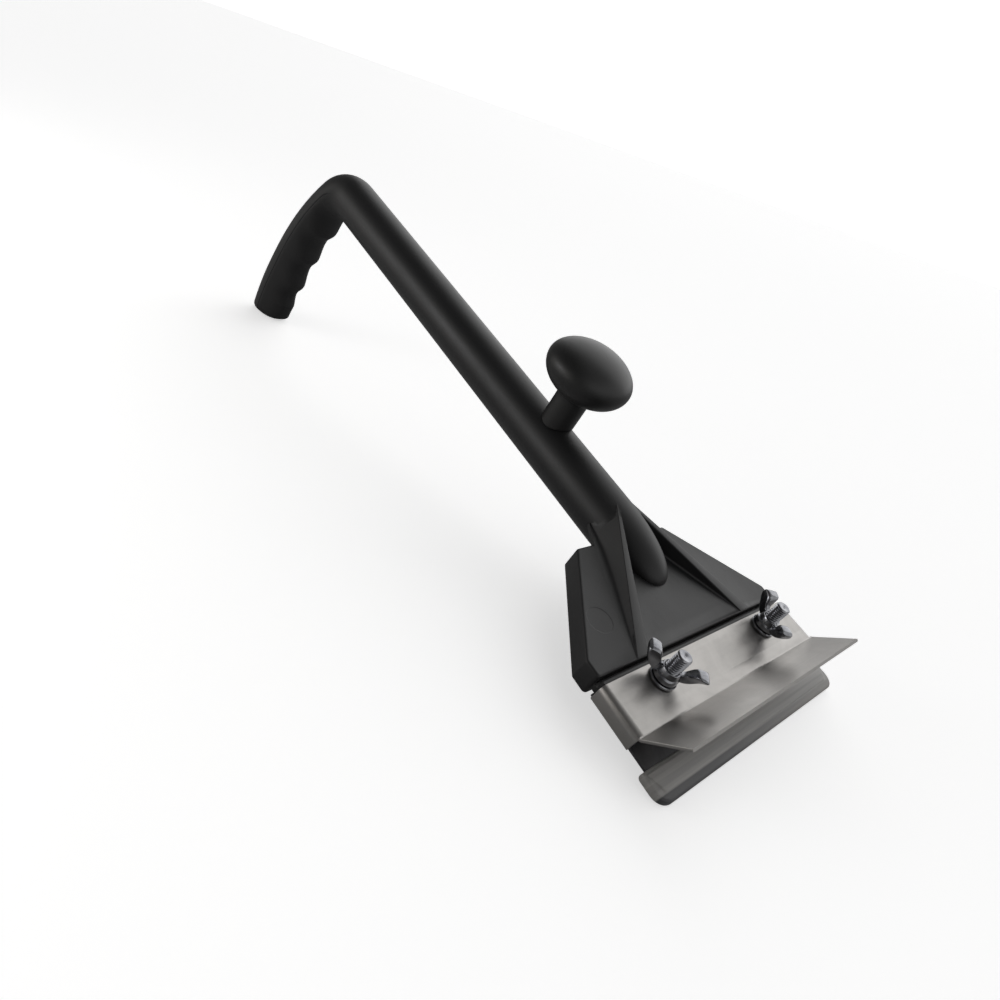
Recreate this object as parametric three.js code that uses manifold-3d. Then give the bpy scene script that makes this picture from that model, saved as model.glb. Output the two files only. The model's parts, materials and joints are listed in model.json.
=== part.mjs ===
// A two-handed floor scraper: one moulded handle with a pistol grip, a side knob, a clamped steel blade
// under a bent stainless guard, two wing nuts and a slide-on blade cover.
// Millimetres. The tool is drawn in its own frame, where the top face of the head is z = 0, its front edge
// is y = 0, the handle runs back along +Y and the knob stands up along +Z. The last lines tip the tool back
// until the end of the grip and the front edge of the blade cover both stand on the floor, z = 0.
import * as THREE from 'three';
import { mergeVertices } from 'three/addons/utils/BufferGeometryUtils.js';
import Module from 'manifold-3d';

const wasm = await Module();
wasm.setup();

// ---- driving dimensions ----------------------------------------------------------------------------------
const gap = 0.3; // between pieces that touch
const degrees = THREE.MathUtils.degToRad;
const restTilt = degrees(14.5); // slope of the shaft when the tool stands on the floor

const head = {
  halfWidth: 63,
  thickness: 10.6,
  sideLength: 7.1,
  rearHalfWidth: 29.7,
  rearY: 49.7,
  bevel: 0.9,
};
const groove = { front: 1.5, depth: 4.5 }; // moulded groove between the head and its clamping tongue
const tongue = { halfWidth: 62.1, top: -0.8, bottom: -7.1, front: -22.3 };
const rib = {
  halfTop: 1, // half the thickness of the top edge
  draft: 0.68, // how much narrower the rib gets per millimetre up
  front: { x: 34.9, y: 0.6, top: 0.3, root: 7.2 }, // root is the rib's thickness where it meets the head
  rear: { x: 3.4, y: 60, top: 11.4, root: 9.8 },
};

const shaft = {
  radius: 12.4,
  axisZ: -0.7,
  pitch: degrees(0.4),
  noseTip: 23.2,
  noseLength: 36,
  noseBlunt: 2.4, // exponent of the nose's outline seen from above; 2 is an ellipse
};
const bend = { startY: 303, radius: 19, turn: degrees(54) };
const grip = {
  radius: 196,
  startDepth: 10.5, // from the centre line to the finger crests, at the bend
  endDepth: 20.5, // and at the end
  endBack: 12.4,
  endHalfWidth: 8.8,
  fullSizeRun: 75,
  grooveDepth: 3.8,
  groovePitch: 24.5,
  firstCrest: 22.5, // from the end of the bend
  crests: 3,
  endRounding: 4,
  fingerEase: 3.4, // the end's rounding is this many times longer on the finger side
  levelling: 24, // height over which the sections turn level with the floor
};

const bolt = { x: 37.4, y: -9.4, radius: 3, hole: 3.3, topZ: 15, sunkRadius: 5.4 };
const blade = { halfWidth: 62.5, rear: -1.8, front: -37.5, top: -7.4, thickness: 1, slot: 3.4, edge: 2.2 };
const clampBar = { halfWidth: 58, rear: -2.4, front: -20, thickness: 2 };
const guard = {
  halfWidth: 65,
  rear: -2.9,
  bend: -22.9,
  top: 0.75,
  thickness: 1.2,
  lipRise: 15.3,
  lipRun: 11.7,
  cheekBottom: -6.8,
  bendRadius: 3,
};
const washer = { radius: 5.5, thickness: 1.2, underKnob: 5.7 };
const wingNut = {
  collarRadius: 4.9,
  collarTop: 3,
  neckRadius: 4.2,
  neckTop: 6.2,
  span: 12.2,
  height: 9.9,
  thickness: 3,
  edge: 0.5,
  // The outline of a wing, as (outwards, up) points and the points that its curves are pulled towards.
  root: { low: [3.7, 1.2], high: [3.7, 5.6] },
  underside: { start: [6, 1.4], pull: [11, 3.8] },
  tipSide: 2.8,
  tipTop: 2.6,
  upperside: { pull: [7.7, 9.9], middle: [7.2, 8.4], neck: [6.2, 6.4] },
  bore: 3.25,
  angle: { left: degrees(131), right: degrees(61) },
};
const cover = { halfWidth: 65.7, rear: -31.1, front: -43.1, wall: 1.1, blunt: 3.2, cornerRadius: 5.5 };
const knob = { y: 108.5, centre: 39.6, radius: 20.2, above: 11.4, below: 13, stemRadius: 7.7 };
const knobBolt = {
  radius: 3,
  head: 5,
  headHeight: 6,
  hole: 3.3,
  counterbore: 6.4,
  counterboreDepth: 10,
  socket: 2.5, // radius of the hexagonal socket over its corners
  socketDepth: 3,
  grip: 8, // thread length inside the insert
};
const insert = { radius: 4.5, bottom: 25, top: 37, blindEnd: 2 };

// ---- materials -------------------------------------------------------------------------------------------
const paint = (color, roughness, metalness) => (
  new THREE.MeshStandardMaterial({ color, roughness, metalness })
);
const nylon = () => paint(0x2e2e2f, 0.5, 0);
const stainless = () => paint(0xaba7a0, 0.3, 1);
const zinc = () => paint(0x8d8f92, 0.32, 1);
const toolSteel = () => paint(0x55565a, 0.35, 1);
const brass = () => paint(0xb08d4a, 0.35, 1);
const smokeVinyl = () => paint(0x6a6866, 0.35, 0);

// ---- solids ----------------------------------------------------------------------------------------------
// Points of an arc round (cx, cy), from one angle to another, both ends included.
function arc(cx, cy, radius, from, to, steps = 4) {
  return Array.from({ length: steps + 1 }, (_, k) => {
    const angle = from + ((to - from) * k) / steps;
    return [cx + radius * Math.cos(angle), cy + radius * Math.sin(angle)];
  });
}

// A closed three.js geometry as a manifold solid, for cutting and joining.
function solid(geometry) {
  const bare = geometry.clone();
  bare.deleteAttribute('normal');
  bare.deleteAttribute('uv');
  const merged = mergeVertices(bare, 1e-3);
  return new wasm.Manifold(new wasm.Mesh({
    numProp: 3,
    vertProperties: new Float32Array(merged.attributes.position.array),
    triVerts: new Uint32Array(merged.index.array),
  }));
}

// A manifold solid back as a three.js geometry.
function geometryOf(manifold) {
  const mesh = manifold.getMesh();
  const points = [];
  for (let i = 0; i < mesh.vertProperties.length; i += mesh.numProp) {
    points.push(...mesh.vertProperties.slice(i, i + 3));
  }
  const geometry = new THREE.BufferGeometry();
  geometry.setAttribute('position', new THREE.Float32BufferAttribute(points, 3));
  geometry.setIndex(Array.from(mesh.triVerts));
  geometry.computeVertexNormals();
  return geometry;
}

function block(x0, x1, y0, y1, z0, z1) {
  const geometry = new THREE.BoxGeometry(x1 - x0, y1 - y0, z1 - z0);
  return geometry.translate((x0 + x1) / 2, (y0 + y1) / 2, (z0 + z1) / 2);
}

// A round post about the z axis at (x, y), from z0 to z1.
function post(x, y, z0, z1, radius, sides = 24) {
  const geometry = new THREE.CylinderGeometry(radius, radius, z1 - z0, sides).rotateX(Math.PI / 2);
  return geometry.translate(x, y, (z0 + z1) / 2);
}

// An outline in the XY plane, extruded from z0 to z1.
function slab(points, z0, z1, bevel = 0) {
  const shape = new THREE.Shape(points.map(([x, y]) => new THREE.Vector2(x, y)));
  const geometry = new THREE.ExtrudeGeometry(shape, {
    depth: z1 - z0 - 2 * bevel,
    bevelEnabled: bevel > 0,
    bevelThickness: bevel,
    bevelSize: bevel,
    bevelOffset: -bevel,
    bevelSegments: 1,
    curveSegments: 8,
  });
  return geometry.translate(0, 0, z0 + bevel);
}

// An outline in the YZ plane, extruded from x0 to x1.
function barAcross(points, x0, x1) {
  const shape = new THREE.Shape(points.map(([y, z]) => new THREE.Vector2(y, z)));
  const geometry = new THREE.ExtrudeGeometry(shape, { depth: x1 - x0, bevelEnabled: false });
  geometry.rotateY(Math.PI / 2).rotateX(Math.PI / 2); // outline x to y, outline y to z, depth to x
  return geometry.translate(x0, 0, 0);
}

// A skin through rings of the same number of points, closed at both ends by a fan.
function loft(rings) {
  const count = rings[0].length;
  const positions = rings.flat().flatMap((p) => [p.x, p.y, p.z]);
  const index = [];
  for (let r = 0; r < rings.length - 1; r += 1) {
    for (let k = 0; k < count; k += 1) {
      const a = r * count + k;
      const b = r * count + ((k + 1) % count);
      index.push(a, b, b + count, a, b + count, a + count);
    }
  }
  for (const [r, flip] of [[0, true], [rings.length - 1, false]]) {
    const centre = positions.length / 3;
    const middle = rings[r].reduce((sum, p) => sum.add(p), new THREE.Vector3()).divideScalar(count);
    positions.push(middle.x, middle.y, middle.z);
    for (let k = 0; k < count; k += 1) {
      const a = r * count + k;
      const b = r * count + ((k + 1) % count);
      index.push(...(flip ? [centre, b, a] : [centre, a, b]));
    }
  }
  const geometry = new THREE.BufferGeometry();
  geometry.setAttribute('position', new THREE.Float32BufferAttribute(positions, 3));
  geometry.setIndex(index);
  return geometry;
}

// ---- the handle bar: nose, shaft, bend and grip as one skin -----------------------------------------------
// A station is a place on the bar's centre line: its point, the direction of its section towards the finger
// side, and the section's size.
const ringPoints = 28;

function ring({ y, z, toFingers, front, back, half, square }) {
  const points = [];
  for (let k = 0; k < ringPoints; k += 1) {
    const angle = (2 * Math.PI * k) / ringPoints;
    const bulge = (value) => Math.sign(value) * Math.abs(value) ** (2 / square);
    const depth = bulge(Math.cos(angle));
    const reach = (depth > 0 ? front : back) * depth;
    points.push(new THREE.Vector3(
      half * bulge(Math.sin(angle)),
      y + reach * Math.cos(toFingers),
      z + reach * Math.sin(toFingers),
    ));
  }
  return points;
}

const axisHeight = (y) => shaft.axisZ + Math.tan(shaft.pitch) * y;

// Height of the floor in the tool's own frame, under the front lower edge of the blade cover.
const coverBottom = blade.top - blade.thickness - gap - cover.wall;
const floorHeight = (y) => coverBottom - Math.tan(restTilt) * (y - cover.front);

function barStations() {
  const stations = [];
  const round = { front: shaft.radius, back: shaft.radius, half: shaft.radius, square: 2 };
  const downwards = -Math.PI / 2 + shaft.pitch; // the shaft's underside leads into the finger side
  const noseSteps = 7;
  for (let k = 0; k < noseSteps; k += 1) {
    const share = Math.cos((Math.PI / 2) * ((k + 0.25) / (noseSteps + 0.25)));
    const swell = Math.sqrt(1 - share ** 2);
    const y = shaft.noseTip + shaft.noseLength * (1 - share);
    const size = shaft.radius * swell;
    stations.push({
      y,
      z: axisHeight(y),
      toFingers: downwards,
      front: size,
      back: size,
      half: shaft.radius * (1 - share ** shaft.noseBlunt) ** (1 / shaft.noseBlunt),
      square: 2,
    });
  }
  for (const y of [shaft.noseTip + shaft.noseLength, 150, 225, bend.startY]) {
    stations.push({ y, z: axisHeight(y), toFingers: downwards, ...round });
  }

  const bendSteps = 8;
  const centre = { y: bend.startY, z: axisHeight(bend.startY) - bend.radius };
  const at = (turned) => ({
    y: centre.y + bend.radius * Math.sin(turned),
    z: centre.z + bend.radius * Math.cos(turned),
    toFingers: -Math.PI / 2 - turned,
  });
  for (let k = 1; k <= bendSteps; k += 1) {
    stations.push({ ...at((bend.turn * k) / bendSteps), ...round });
  }

  const start = at(bend.turn);
  const big = {
    y: start.y - grip.radius * Math.sin(bend.turn),
    z: start.z - grip.radius * Math.cos(bend.turn),
  };
  const step = 1.9;
  const endFace = -Math.PI - restTilt;
  for (let run = step; ; run += step) {
    const turned = bend.turn + run / grip.radius;
    const y = big.y + grip.radius * Math.sin(turned);
    const z = big.z + grip.radius * Math.cos(turned);
    const above = z - floorHeight(y);
    if (above < grip.endRounding) {
      break;
    }
    const share = Math.min(run / grip.fullSizeRun, 1);
    const mix = (from, to) => from + (to - from) * share;
    const wave = (run - grip.firstCrest) / grip.groovePitch;
    const inGrooves = wave > -1 && wave < grip.crests;
    const dip = inGrooves ? grip.grooveDepth * Math.abs(Math.sin(Math.PI * wave)) ** 1.4 : 0;
    const across = -Math.PI / 2 - turned;
    const level = THREE.MathUtils.clamp((grip.levelling + grip.endRounding - above) / grip.levelling, 0, 1);
    stations.push({
      y,
      z,
      toFingers: across + (endFace - across) * level,
      front: mix(grip.startDepth, grip.endDepth) - dip,
      back: mix(shaft.radius, grip.endBack),
      half: mix(shaft.radius, grip.endHalfWidth),
      square: mix(2, 2.5),
    });
  }
  const last = stations[stations.length - 1];
  const drop = last.z - floorHeight(last.y);
  const roundSteps = 3;
  for (let k = 1; k <= roundSteps; k += 1) {
    const angle = (Math.PI / 2) * (k / roundSteps);
    const shrink = grip.endRounding * (1 - Math.cos(angle));
    const down = drop * Math.sin(angle);
    stations.push({
      ...last,
      z: last.z - down,
      toFingers: endFace,
      front: last.front - grip.fingerEase * shrink,
      back: last.back - shrink,
      half: last.half - shrink,
    });
  }
  return stations;
}

// A gusset from the front edge of the head up to the shaft, on the side given by sign.
function gusset(sign) {
  const base = -head.thickness / 2;
  const rings = [rib.front, rib.rear].map(({ x, y, top, root }) => {
    const inner = sign * (x - rib.halfTop);
    const foot = inner + sign * root;
    const outer = foot - sign * rib.draft * top;
    return [[inner, base], [foot, base], [foot, 0], [outer, top], [inner, top]]
      .map(([px, pz]) => new THREE.Vector3(px, y, pz));
  });
  return outward(loft(rings));
}

// A skin as a manifold solid, with its faces turned round first where they point inwards.
function outward(geometry) {
  const made = solid(geometry);
  if (made.volume() > 0) {
    return made;
  }
  const turned = geometry.clone();
  const index = Array.from(turned.index.array);
  for (let i = 0; i < index.length; i += 3) {
    [index[i + 1], index[i + 2]] = [index[i + 2], index[i + 1]];
  }
  turned.setIndex(index);
  return solid(turned);
}

function handleMoulding() {
  const outline = [
    [-head.halfWidth, 0],
    [head.halfWidth, 0],
    [head.halfWidth, head.sideLength],
    [head.rearHalfWidth, head.rearY],
    [-head.rearHalfWidth, head.rearY],
    [-head.halfWidth, head.sideLength],
  ];
  let body = solid(slab(outline, -head.thickness, 0, head.bevel));
  const { halfWidth, front, bottom, top } = tongue;
  body = body.add(solid(block(-halfWidth, halfWidth, front, head.sideLength / 2, bottom, top)));
  body = body.subtract(solid(block(
    -head.halfWidth - 1, head.halfWidth + 1, -groove.front, 0, -groove.depth, 1,
  )));
  const below = block(
    -2 * shaft.radius, 2 * shaft.radius, 0, head.rearY + 2 * shaft.radius, -3 * shaft.radius, -head.thickness,
  );
  body = body.add(outward(loft(barStations().map(ring))).subtract(solid(below)));
  for (const sign of [-1, 1]) {
    body = body.add(gusset(sign));
    body = body.subtract(solid(post(sign * bolt.x, bolt.y, bottom - 1, top + 1, bolt.hole)));
  }
  const under = axisHeight(knob.y) - shaft.radius;
  const { hole, counterbore, counterboreDepth } = knobBolt;
  body = body.subtract(solid(post(0, knob.y, under - 1, under + 3 * shaft.radius, hole)));
  body = body.subtract(solid(post(0, knob.y, under - 1, under + counterboreDepth, counterbore)));
  return geometryOf(body);
}

// ---- the knob and what holds it --------------------------------------------------------------------------
function knobSolid() {
  const base = axisHeight(knob.y);
  const points = [new THREE.Vector2(0, 0)];
  points.push(new THREE.Vector2(knob.stemRadius, 0));
  const join = Math.asin(knob.stemRadius / knob.radius);
  const steps = 14;
  for (let k = 0; k <= steps; k += 1) {
    const angle = -Math.PI / 2 + join + ((Math.PI - join) * k) / steps;
    const x = k === steps ? 0 : knob.radius * Math.cos(angle);
    const height = angle > 0 ? knob.above : knob.below;
    points.push(new THREE.Vector2(x, knob.centre + height * Math.sin(angle)));
  }
  const turned = new THREE.LatheGeometry(points, 36).rotateX(Math.PI / 2).translate(0, knob.y, base);
  let body = solid(turned);
  const saddle = new THREE.CylinderGeometry(shaft.radius + gap, shaft.radius + gap, 80, 40);
  body = body.subtract(solid(saddle.rotateX(shaft.pitch).translate(0, knob.y, base)));
  body = body.subtract(solid(post(0, knob.y, base, base + insert.bottom, knobBolt.hole)));
  body = body.subtract(solid(post(0, knob.y, base + insert.bottom - gap, base + insert.top + gap,
    insert.radius + gap)));
  return geometryOf(body);
}

function knobInsert() {
  const base = axisHeight(knob.y);
  const body = solid(post(0, knob.y, base + insert.bottom, base + insert.top, insert.radius));
  const bore = solid(post(
    0, knob.y, base + insert.bottom - 1, base + insert.top - insert.blindEnd, knobBolt.radius + gap,
  ));
  return geometryOf(body.subtract(bore));
}

const counterboreFloor = () => axisHeight(knob.y) - shaft.radius + knobBolt.counterboreDepth;

function knobWasher() {
  const top = counterboreFloor() - gap;
  const body = solid(post(0, knob.y, top - washer.thickness, top, washer.underKnob));
  const hole = solid(post(0, knob.y, top - washer.thickness - 1, top + 1, knobBolt.radius + gap));
  return geometryOf(body.subtract(hole));
}

function knobBoltSolid() {
  const seat = counterboreFloor() - 2 * gap - washer.thickness;
  const top = axisHeight(knob.y) + insert.bottom + knobBolt.grip;
  let body = solid(post(0, knob.y, seat - knobBolt.headHeight, seat, knobBolt.head));
  body = body.add(solid(post(0, knob.y, seat - 1, top, knobBolt.radius)));
  const under = seat - knobBolt.headHeight;
  body = body.subtract(solid(post(0, knob.y, under - 1, under + knobBolt.socketDepth, knobBolt.socket, 6)));
  return geometryOf(body);
}

// ---- the blade and its clamp -----------------------------------------------------------------------------
function bladeSolid() {
  const bottom = blade.top - blade.thickness;
  const section = [
    [blade.rear, bottom],
    [blade.front, bottom],
    [blade.front + blade.edge, blade.top],
    [blade.rear, blade.top],
  ];
  let body = solid(barAcross(section, -blade.halfWidth, blade.halfWidth));
  for (const sign of [-1, 1]) {
    const x = sign * bolt.x;
    body = body.subtract(solid(post(x, bolt.y, bottom - 1, blade.top + 1, blade.slot)));
    body = body.subtract(solid(block(
      x - blade.slot, x + blade.slot, bolt.y, blade.rear + 1, bottom - 1, blade.top + 1,
    )));
  }
  return geometryOf(body);
}

const barTop = blade.top - blade.thickness - gap;

function clampBarSolid() {
  const bottom = barTop - clampBar.thickness;
  let body = solid(block(
    -clampBar.halfWidth, clampBar.halfWidth, clampBar.front, clampBar.rear, bottom, barTop,
  ));
  for (const sign of [-1, 1]) {
    body = body.subtract(solid(countersink(sign, bottom, gap)));
  }
  return geometryOf(body);
}

// The countersunk shape of a clamp bolt from the underside of the clamp bar up, made larger by extra.
function countersink(sign, bottom, extra) {
  const points = [
    [0, bottom - extra],
    [bolt.sunkRadius + extra, bottom - extra],
    [bolt.sunkRadius + extra, bottom],
    [bolt.radius + extra, bottom + clampBar.thickness - 0.2],
    [bolt.radius + extra, barTop + 1],
    [0, barTop + 1],
  ].map(([x, y]) => new THREE.Vector2(x, y));
  return new THREE.LatheGeometry(points, 24).rotateX(Math.PI / 2).translate(sign * bolt.x, bolt.y, 0);
}

function clampBolt(sign) {
  let body = solid(countersink(sign, barTop - clampBar.thickness, 0));
  body = body.add(solid(post(sign * bolt.x, bolt.y, barTop, bolt.topZ, bolt.radius)));
  return geometryOf(body);
}

// The guard: a plate with two cheeks turned down over the ends of the blade and a lip turned up in front.
function guardSolid() {
  const { halfWidth: w, top, thickness: t, bendRadius: r, cheekBottom: low } = guard;
  const corner = top - r;
  const outer = [
    [-w, low],
    ...arc(-w + r, corner, r, Math.PI, Math.PI / 2),
    ...arc(w - r, corner, r, Math.PI / 2, 0),
    [w, low],
  ];
  const inner = [
    [w - t, low],
    ...arc(w - r, corner, r - t, 0, Math.PI / 2),
    ...arc(-w + r, corner, r - t, Math.PI / 2, Math.PI),
    [-w + t, low],
  ];
  const channel = new THREE.Shape([...outer, ...inner].map(([x, z]) => new THREE.Vector2(x, z)));
  const depth = guard.rear - guard.bend;
  const geometry = new THREE.ExtrudeGeometry(channel, { depth, bevelEnabled: false });
  geometry.rotateX(Math.PI / 2).translate(0, guard.rear, 0);
  let body = solid(geometry);
  const slope = Math.atan2(guard.lipRise, guard.lipRun);
  const across = [t * Math.sin(slope), t * Math.cos(slope)];
  const tip = [guard.bend - guard.lipRun, top + guard.lipRise];
  const lip = [
    [guard.bend + 0.05, top],
    [guard.bend + 0.05, top - t],
    [guard.bend, top - t],
    [guard.bend - across[0], top - across[1]],
    [tip[0] - across[0], tip[1] - across[1]],
    tip,
    [guard.bend, top],
  ];
  body = body.add(solid(barAcross(lip, -w, w)));
  for (const sign of [-1, 1]) {
    body = body.subtract(solid(post(sign * bolt.x, bolt.y, top - t - 1, top + 1, bolt.hole)));
  }
  return geometryOf(body);
}

function washerSolid(sign) {
  const bottom = guard.top + gap;
  const body = solid(post(sign * bolt.x, bolt.y, bottom, bottom + washer.thickness, washer.radius));
  const hole = solid(post(sign * bolt.x, bolt.y, bottom - 1, bottom + washer.thickness + 1, bolt.hole));
  return geometryOf(body.subtract(hole));
}

// A wing nut standing on z = 0 about the z axis, its wings along x.
function wingNutSolid() {
  const n = wingNut;
  const profile = [
    [0, 0],
    [n.collarRadius - 0.5, 0],
    [n.collarRadius, 0.5],
    [n.collarRadius - 0.3, n.collarTop],
    [n.neckRadius, n.neckTop],
    [0, n.neckTop],
  ].map(([x, y]) => new THREE.Vector2(x, y));
  let body = solid(new THREE.LatheGeometry(profile, 24).rotateX(Math.PI / 2));
  const wing = new THREE.Shape();
  wing.moveTo(...n.root.low);
  wing.lineTo(...n.underside.start);
  wing.quadraticCurveTo(...n.underside.pull, n.span, n.height - n.tipSide);
  wing.quadraticCurveTo(n.span, n.height, n.span - n.tipTop, n.height);
  wing.quadraticCurveTo(...n.upperside.pull, ...n.upperside.middle);
  wing.quadraticCurveTo(...n.upperside.neck, ...n.root.high);
  wing.closePath();
  const flat = new THREE.ExtrudeGeometry(wing, {
    depth: n.thickness - 2 * n.edge,
    bevelEnabled: true,
    bevelThickness: n.edge,
    bevelSize: n.edge,
    bevelOffset: -n.edge,
    bevelSegments: 1,
    curveSegments: 5,
  });
  flat.translate(0, 0, n.edge - n.thickness / 2).rotateX(Math.PI / 2);
  body = body.add(solid(flat)).add(solid(flat.clone().rotateZ(Math.PI)));
  return body.subtract(solid(post(0, 0, -1, n.neckTop + 1, n.bore)));
}

// ---- the blade cover -------------------------------------------------------------------------------------
function coverSolid() {
  const c = cover;
  const bottom = coverBottom;
  const top = blade.top + gap + c.wall;
  const r = c.cornerRadius;
  const outline = [
    [-c.halfWidth, c.rear],
    ...arc(-c.halfWidth + r, c.front + r, r, Math.PI, 1.5 * Math.PI, 5),
    ...arc(c.halfWidth - r, c.front + r, r, 1.5 * Math.PI, 2 * Math.PI, 5),
    [c.halfWidth, c.rear],
  ];
  let body = solid(slab(outline, bottom, top));
  const pocket = block(
    -c.halfWidth + c.wall, c.halfWidth - c.wall,
    c.front + c.blunt, c.rear + 1,
    blade.top - blade.thickness - gap, blade.top + gap,
  );
  body = body.subtract(solid(pocket));
  return geometryOf(body);
}

// ---- assembly --------------------------------------------------------------------------------------------
const tool = new THREE.Group();
tool.rotation.x = restTilt;

function part(name, geometry, material) {
  const mesh = new THREE.Mesh(geometry, material);
  mesh.name = name;
  tool.add(mesh);
  return mesh;
}

part('handle_moulding', handleMoulding(), nylon());
part('side_knob', knobSolid(), nylon());
part('side_knob_insert', knobInsert(), brass());
part('side_knob_washer', knobWasher(), zinc());
part('side_knob_bolt', knobBoltSolid(), zinc());
part('blade', bladeSolid(), toolSteel());
part('clamp_bar', clampBarSolid(), toolSteel());
part('guard', guardSolid(), stainless());
part('blade_cover', coverSolid(), smokeVinyl());

for (const [side, sign] of [['left', -1], ['right', 1]]) {
  part(`clamp_bolt_${side}`, clampBolt(sign), zinc());
  part(`clamp_washer_${side}`, washerSolid(sign), zinc());
  const nut = part(`wing_nut_${side}`, geometryOf(wingNutSolid()), zinc());
  nut.position.set(sign * bolt.x, bolt.y, guard.top + 2 * gap + washer.thickness);
  nut.rotation.z = wingNut.angle[side];
}

// The floor is z = 0 and the tool's middle is x = y = 0.
const object = new THREE.Group();
object.add(tool);
object.updateMatrixWorld(true);
const bounds = new THREE.Box3().setFromObject(object, true);
tool.position.set(0, -(bounds.min.y + bounds.max.y) / 2, -bounds.min.z);

export default object;
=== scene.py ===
# %% [markdown]
# # A two-handed floor scraper
# The real tool is one black nylon moulding, with a flat head in front, a round shaft and a pistol grip behind, a
# screwed-on side knob, and a steel blade clamped under a bent stainless guard by two wing nuts. A soft vinyl cover
# slides over the blade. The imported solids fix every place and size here, and each visible piece is rebuilt as a
# finer surface round them: moulded parts need smooth curves and small roundings, and screws need real threads.

# %% The frame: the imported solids, as bodies, nodes and joints
import json
import math

import bpy
import numpy as np
from mathutils import Matrix, Vector


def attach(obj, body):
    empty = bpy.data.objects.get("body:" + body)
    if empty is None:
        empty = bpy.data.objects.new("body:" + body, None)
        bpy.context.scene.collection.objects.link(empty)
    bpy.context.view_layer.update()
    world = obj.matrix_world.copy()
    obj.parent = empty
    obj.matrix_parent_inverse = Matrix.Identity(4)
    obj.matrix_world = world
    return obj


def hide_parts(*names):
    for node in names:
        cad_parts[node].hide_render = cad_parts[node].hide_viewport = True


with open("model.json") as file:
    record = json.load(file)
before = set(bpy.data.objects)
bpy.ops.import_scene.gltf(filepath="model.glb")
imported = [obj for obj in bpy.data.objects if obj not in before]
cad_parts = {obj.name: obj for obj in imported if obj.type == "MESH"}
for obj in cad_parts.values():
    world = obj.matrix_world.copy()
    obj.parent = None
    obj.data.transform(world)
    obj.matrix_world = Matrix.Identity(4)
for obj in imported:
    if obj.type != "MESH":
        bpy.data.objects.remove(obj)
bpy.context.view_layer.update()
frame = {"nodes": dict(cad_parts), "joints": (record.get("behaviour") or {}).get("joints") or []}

print("packed nodes:", ", ".join(sorted(frame["nodes"])))

# %% [markdown]
# The tool rests tipped back by 14.5 degrees. Its pieces are much easier to draw level: x across the head, y back
# along the shaft, z up out of the head, with the head's top face at z = 0 and its front edge at y = 0. So every
# shape below is worked out in millimetres in that level frame and turned into place as its last step. The joint
# of the left wing nut says where one known point of the level frame lies.

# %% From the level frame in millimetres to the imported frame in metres
TILT = math.radians(14.5)
COS, SIN = math.cos(TILT), math.sin(TILT)
BOLT_X, BOLT_Y, NUT_SEAT = 37.4, -9.4, 2.55
BOLTS = {"left": -BOLT_X, "right": BOLT_X}
joints = {joint["name"]: joint for joint in frame["joints"]}
seat = np.array(joints["wing_nut_left_turn"]["pos_m"]) * 1000
SHIFT_Y = seat[1] - (BOLT_Y * COS - NUT_SEAT * SIN)
SHIFT_Z = seat[2] - (BOLT_Y * SIN + NUT_SEAT * COS)


def placed(points):
    """Turns level points, in mm, about X by the tilt, shifts them onto the frame and gives metres."""
    p = np.asarray(points, float).reshape(-1, 3)
    turned = [p[:, 0], p[:, 1] * COS - p[:, 2] * SIN + SHIFT_Y, p[:, 1] * SIN + p[:, 2] * COS + SHIFT_Z]
    return np.stack(turned, axis=1) / 1000


print(f"level frame sits at y {SHIFT_Y:.2f} mm, z {SHIFT_Z:.2f} mm")

# %% [markdown]
# Every new piece is a skin of rings: a closed ring of points is carried along a path, and neighbouring rings are
# joined by quads. Where the path ends, a fan to one middle point closes the skin. The sign of the volume inside
# says whether the faces point outwards, and if not they are all turned round at once.

# %% Skins of rings, made as whole arrays
def skin(rings, loop=False):
    """Points and faces through an array of rings (rings, points, 3). The rows join round, and so do the rings if
    loop is true; otherwise each end is closed by a fan to its mean point."""
    rings = np.asarray(rings, float)
    rows, cols = rings.shape[:2]
    points = rings.reshape(-1, 3)
    last = rows if loop else rows - 1
    r, c = np.meshgrid(np.arange(last), np.arange(cols), indexing="ij")
    r, c = r.ravel(), c.ravel()
    r2, c2 = (r + 1) % rows, (c + 1) % cols
    quads = np.stack([r * cols + c, r * cols + c2, r2 * cols + c2, r2 * cols + c], axis=1)
    faces = [quads]
    if not loop:
        k = np.arange(cols)
        middles = [rings[0].mean(axis=0), rings[-1].mean(axis=0)]
        first, second = len(points), len(points) + 1
        end = (rows - 1) * cols
        faces.append(np.stack([np.full(cols, first), (k + 1) % cols, k], axis=1))
        faces.append(np.stack([np.full(cols, second), end + k, end + (k + 1) % cols], axis=1))
        points = np.vstack([points, middles])
    return points, faces


def volume(points, faces):
    """Signed volume inside closed faces: the sum over triangles of a . (b x c) / 6."""
    total = 0.0
    for block in faces:
        for k in range(1, block.shape[1] - 1):
            a, b, c = points[block[:, 0]], points[block[:, k]], points[block[:, k + 1]]
            total += np.einsum("ij,ij->i", a, np.cross(b, c)).sum() / 6
    return total


def mesh_of(name, points, faces):
    """A mesh with outward faces, from level points in mm and blocks of faces of equal length."""
    if volume(points, faces) < 0:
        faces = [block[:, ::-1] for block in faces]
    made = bpy.data.meshes.new(name)
    spots = placed(points)
    corners = np.concatenate([block.ravel() for block in faces]).astype(np.int32)
    totals = np.concatenate([np.full(len(block), block.shape[1]) for block in faces]).astype(np.int32)
    starts = np.concatenate([[0], np.cumsum(totals)[:-1]]).astype(np.int32)
    made.vertices.add(len(spots))
    made.vertices.foreach_set("co", spots.ravel())
    made.loops.add(len(corners))
    made.loops.foreach_set("vertex_index", corners)
    made.polygons.add(len(totals))
    made.polygons.foreach_set("loop_start", starts)
    made.update(calc_edges=True)
    made.validate()
    return made


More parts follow.
